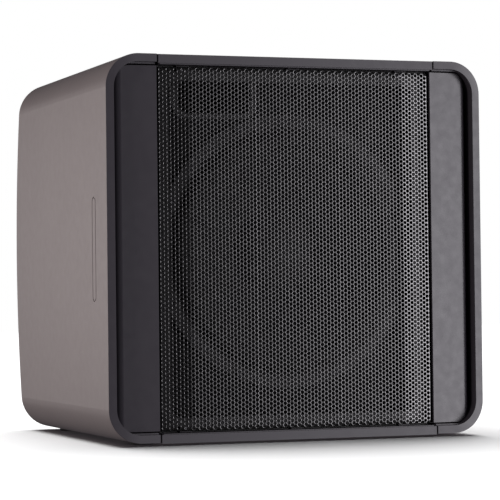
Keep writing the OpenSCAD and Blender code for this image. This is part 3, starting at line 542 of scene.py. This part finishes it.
def perforated_field(sheet, first, last):
    """Columns first to last of the sheet's holes, as a closed mesh.

    Returns its vertices and faces, each face's material (1 for hole walls, back and plain patches, in a
    darker coat of painted shade), and the range of the vertices on the holes' outer rings.
    """
    marks = 2 * ROWS + 1

    def border(line, mark):
        return (line - first) * marks + mark

    flat = [border_points(first, last)]
    count = borders = len(flat[0])
    angles = np.arange(HOLE_SIDES) * 2 * math.pi / HOLE_SIDES
    circle = np.stack([np.cos(angles), np.sin(angles)], axis=-1) * HOLE_R
    fans, faces, walls, plain = cell_faces(), [], [], []
    for i in range(first, last):
        shift = i % 2
        for j in range(ROWS - shift):
            mark = 2 * j + 1 + shift
            centre = ((i + 0.5 - COLUMNS / 2) * COLUMN_PITCH, (mark - ROWS) * ROW_PITCH / 2)
            corners = [border(i + (du + 1) // 2, mark + dv) for du, dv in CELL_CORNERS]
            codes = corners + list(range(count, count + HOLE_SIDES))
            flat.append(circle + centre)
            faces += [tuple(codes[k] for k in fan) for fan in fans]
            walls += [(count + k, count + (k + 1) % HOLE_SIDES) for k in range(HOLE_SIDES)]
            count += HOLE_SIDES
        if shift:
            for m in (0, marks - 2):
                plain.append(len(faces))
                faces.append((border(i, m), border(i + 1, m), border(i + 1, m + 1), border(i, m + 1)))
    flat = np.concatenate(flat)
    back = sheet.at(flat[:, 0], flat[:, 1], SHEET_T)
    holes = flat[borders:].reshape(-1, HOLE_SIDES, 2)
    centres = holes.mean(axis=1).repeat(HOLE_SIDES, axis=0)
    wide = flat.copy()
    wide[borders:] = centres + (flat[borders:] - centres) * PUNCH_R / HOLE_R
    front = sheet.at(wide[:, 0], wide[:, 1], np.where(np.arange(count) < borders, 0.0, PUNCH_FALL))
    lip = sheet.at(flat[borders:, 0], flat[borders:, 1], PUNCH_DEPTH)
    top = marks - 1
    edge = [border(first, m) for m in range(top)] + [border(i, top) for i in range(first, last)]
    edge += [border(last, top - m) for m in range(top)]
    edge += [border(last - i, 0) for i in range(last - first)]
    everything = [tuple(f) for f in faces] + [tuple(count + k for k in reversed(f)) for f in faces]
    # Faces marked 1 take the darker coat: painted shade on the back, the hole walls and the plain patches
    dark = [0] * len(faces) + [1] * (len(faces) + len(walls))
    for k in plain:
        dark[k] = 1
    # After the front's and the back's vertices come the lips' inner rings, which leave the border out
    lips = 2 * count - borders
    everything += [(lips + b, lips + a, count + a, count + b) for a, b in walls]
    everything += [(b, a, lips + a, lips + b) for a, b in walls]
    everything += [(a, b, count + b, count + a) for a, b in zip(edge, edge[1:] + edge[:1])]
    dark += [0] * (len(everything) - len(dark))
    return np.concatenate([front, back, lip]), everything, dark, (borders, count)


def crease(mesh, low, high):
    """Marks the edges sharp whose two ends are both in a range of vertices."""
    ends = np.empty(2 * len(mesh.edges), dtype=np.int32)
    mesh.edges.foreach_get("vertices", ends)
    sharp = np.empty(len(mesh.edges), dtype=bool)
    mesh.attributes["sharp_edge"].data.foreach_get("value", sharp)
    sharp |= ((ends >= low) & (ends < high)).reshape(-1, 2).all(axis=1)
    mesh.attributes["sharp_edge"].data.foreach_set("value", sharp)


def make_grille():
    """The perforated sheet in three fields and its folded rim, in place of the CAD's plain pan."""
    pan_low, pan_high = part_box("grille_mesh")
    mid_z = (pan_low.z + pan_high.z) / 2
    side_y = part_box("grille_top_rail")[0].y + SIDE_BACK
    sheet = Sheet(pan_high.x, pan_low.y, side_y, mid_z)
    names = ("grille_sheet_left", "grille_sheet_middle", "grille_sheet_right")
    for name, first, last in zip(names, CUTS, CUTS[1:]):
        verts, faces, dark, (low, high) = perforated_field(sheet, first, last)
        field = piece(name, verts, faces, "perforated_steel", "grille", smooth=45)
        crease(field.data, low, high)
        # The second slot is the darker coat: painted shade on the hole walls, back and plain patches
        field.data.materials.append(MATERIALS["painted_shade_coat"])
        field.data.polygons.foreach_set("material_index", dark)
    make_grille_rim(sheet, pan_high.z - mid_z, pan_high.y)


def make_grille_rim(sheet, half_height, back_y):
    """The sheet's plain margin, bent back into a flange all round, in the darker coat of painted shade."""
    field_u, field_v = COLUMNS / 2 * COLUMN_PITCH + FIELD_EDGE, ROWS * ROW_PITCH / 2
    margin_u, margin_v = sheet.half_width - field_u, half_height - field_v
    steps_v = np.linspace(-field_v, field_v, 2 * ROWS + 1)
    steps_u = np.linspace(-field_u, field_u, COLUMNS + 1)
    turns = [math.radians(a) for a in (22.5, 45, 67.5)]
    track = []
    for side in range(4):
        along = [steps_v, -steps_u, -steps_v, steps_u][side]
        for s in along:
            at = [(field_u, s), (s, field_v), (-field_u, s), (s, -field_v)][side]
            track.append((at, side * math.pi / 2))
        at = [(field_u, field_v), (-field_u, field_v), (-field_u, -field_v), (field_u, -field_v)][side]
        track += [(at, side * math.pi / 2 + t) for t in turns]
    bends = [math.radians(a) for a in (0, 22.5, 45, 67.5, 90)]
    rings = []
    hem_y = sheet.front_y + HEM_DEPTH
    inner = BEND_R - SHEET_T
    # Each step along the section: where it is, its distance in from the rim, and its depth
    profile = [("field", 0.0, 0.0)]
    profile += [("edge", BEND_R * (1 - math.sin(b)), BEND_R * (1 - math.cos(b))) for b in bends]
    profile += [("edge", 0.0, "flange"), ("edge", SHEET_T, "flange")]
    for b in reversed(bends):
        profile.append(("edge", SHEET_T + inner * (1 - math.sin(b)), SHEET_T + inner * (1 - math.cos(b))))
    profile.append(("field", 0.0, SHEET_T))
    for part, inset, depth in profile:
        ring = []
        for (u, v), angle in track:
            if part == "field":
                ring.append(sheet.at(np.array(u), np.array(v), depth))
                continue
            cu, cv = math.cos(angle), math.sin(angle)
            reach_u, reach_v = max(0.0, margin_u - inset) * cu, max(0.0, margin_v - inset) * cv
            flange = depth == "flange"
            point = sheet.at(np.array(u + reach_u), np.array(v + reach_v), 0.0 if flange else depth)
            if flange:
                point[1] = back_y if abs(cu) > 0.75 else hem_y
            ring.append(point)
        rings.append(ring)
    verts = [p for ring in rings for p in ring]
    n = len(track)
    faces = []
    for k in range(len(rings)):
        a, b = k * n, ((k + 1) % len(rings)) * n
        faces += [(a + i, a + (i + 1) % n, b + (i + 1) % n, b + i) for i in range(n)]
    rim = piece("grille_rim", verts, faces, "perforated_steel", "grille", ("grille_mesh",), smooth=0)
    build = bmesh.new()
    build.from_mesh(rim.data)
    bmesh.ops.remove_doubles(build, verts=build.verts, dist=1e-6)
    bmesh.ops.recalc_face_normals(build, faces=build.faces)
    build.to_mesh(rim.data)
    build.free()
    # The whole rim takes the darker coat: painted shade over the plain margin and flange
    rim.data.materials[0] = MATERIALS["painted_shade_coat"]
    rim.data.shade_smooth()
    rim.data.set_sharp_from_angle(angle=math.radians(40))


# ------------------------------------------------------------------ woofer's soft parts

BASKET_LOW, BASKET_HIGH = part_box("woofer_basket")
WOOFER_Z = (BASKET_LOW.z + BASKET_HIGH.z) / 2
BAFFLE_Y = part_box("front_baffle")[0].y


def revolved(name, profile, slot, replaces, turns=160, smooth=50):
    """A closed section turned about the woofer's axis.

    Its points are (radius, distance forward of the baffle's face) in millimetres.
    """
    verts, faces, n = [], [], len(profile)
    for k in range(turns):
        c, s = math.cos(2 * math.pi * k / turns), math.sin(2 * math.pi * k / turns)
        verts += [(r * MM * c, BAFFLE_Y - f * MM, WOOFER_Z + r * MM * s) for r, f in profile]
    for k in range(turns):
        at, beyond = k * n, (k + 1) % turns * n
        faces += [(at + i, beyond + i, beyond + (i + 1) % n, at + (i + 1) % n) for i in range(n)]
    return piece(name, verts, faces, slot, None, replaces, smooth)


def blend_radially(obj, inner, outer):
    """Bends a disc between the cone at its inner radius and the basket at its outer one, in millimetres.
    """
    low = Vector((0, BAFFLE_Y, WOOFER_Z + outer * MM))
    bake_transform(obj, "root", "cone_assembly", low, Vector((0, BAFFLE_Y, WOOFER_Z + inner * MM)))
    weights = obj.data.attributes["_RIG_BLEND"]
    for v, w in zip(obj.data.vertices, weights.data):
        r = math.hypot(v.co.x, v.co.z - WOOFER_Z) / MM
        t = min(1.0, max(0.0, (outer - r) / (outer - inner)))
        w.value = t * t * (3 - 2 * t)


def make_surround():
    """Half-roll rubber surround: glued inner land, thin bead, roll, outer land."""
    mid_r, mid_f, out_r, thick = 105.5, 5.3, 8.5, 1.1
    in_r = out_r - thick
    arc = [math.radians(a) for a in range(172, 7, -6)]
    face = [(92.7, 6.2), (93.2, 6.4), (95.6, 6.4), (96.2, 6.75), (96.9, 6.5)]
    face += [(mid_r + out_r * math.cos(a), mid_f + out_r * math.sin(a)) for a in arc]
    face += [(114.2, 5.9), (114.9, 5.5), (115.6, 5.3), (118.5, 5.3), (118.6, 5.1)]
    back = [(118.6, 4.1), (113.4, 4.1)]
    back += [(mid_r + in_r * math.cos(a), mid_f + in_r * math.sin(a)) for a in reversed(arc)]
    back += [(97.6, 5.3), (92.7, 5.3)]
    roll = revolved("surround_roll", face + back, "rubber", ("surround",))
    blend_radially(roll, 98.0, 113.5)


def make_spider():
    """Corrugated centring disc, its waves dying away towards both edges."""
    inner, outer, mid_f, thick, steps = 25.95, 62.8, -52.3, 0.55, 96
    wave_h, waves = 2.1, 4
    top = []
    for i in range(steps + 1):
        t = i / steps
        wave = wave_h * math.sin(2 * math.pi * waves * t) * math.sin(math.pi * t)
        top.append((inner + (outer - inner) * t, mid_f + wave + thick / 2))
    under = [(r, f - thick) for r, f in reversed(top)]
    disc = revolved("centring_spider", top + under, "spider_cloth", ("spider",), smooth=60)
    blend_radially(disc, 27.0, 58.0)


# ------------------------------------------------------------------ damping wadding

def make_wadding():
    """One padded mat inside each side of the sleeve, its surface lumpy and its corners soft."""
    low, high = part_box("damping_wadding")
    thick, wall_gap, trim, corner_r = 21.6 * MM, 0.2 * MM, 1.0 * MM, 8 * MM
    lumps_per_m, hollow, deepest, draw_in = 38.0, 1.3 * MM, 2.6 * MM, 0.006
    mid = (low + high) / 2
    for name, sign in (("wadding_left", -1), ("wadding_right", 1)):
        size = Vector((thick, high.y - low.y - trim, high.z - low.z - trim))
        centre = Vector((sign * (high.x - thick / 2 - wall_gap), mid.y, mid.z))
        build = bmesh.new()
        bmesh.ops.create_cube(build, size=1.0)
        for v in build.verts:
            v.co = Vector((v.co.x * size.x, v.co.y * size.y, v.co.z * size.z))
        bmesh.ops.bevel(build, geom=list(build.edges), offset=corner_r, segments=4, profile=0.6,
                        affect="EDGES")
        long_edges = [e for e in build.edges if e.calc_length() > 5 * corner_r]
        bmesh.ops.subdivide_edges(build, edges=long_edges, cuts=40, use_grid_fill=True)
        for v in build.verts:
            n = noise.fractal(v.co * lumps_per_m + Vector((sign * 3.0, 0, 0)), 0.8, 2.1, 4)
            v.co.x -= math.copysign(min(deepest, max(0.0, hollow * (1 + n))), v.co.x)
            v.co.y *= 1 - draw_in * (1 + n)
            v.co.z *= 1 - draw_in * (1 + n)
            v.co += centre
        mesh = bpy.data.meshes.new(name)
        build.to_mesh(mesh)
        build.free()
        mesh.materials.append(MATERIALS["wadding"])
        mesh.shade_smooth()
        mat = bpy.data.objects.new(name, mesh)
        bpy.context.scene.collection.objects.link(mat)
        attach(mat, "root")
        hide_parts("damping_wadding")


# ------------------------------------------------------------------ build

make_camera()
make_lamps(make_floor())
make_surroundings()
finish_cad_nodes()
make_grille()
make_surround()
make_spider()
make_wadding()
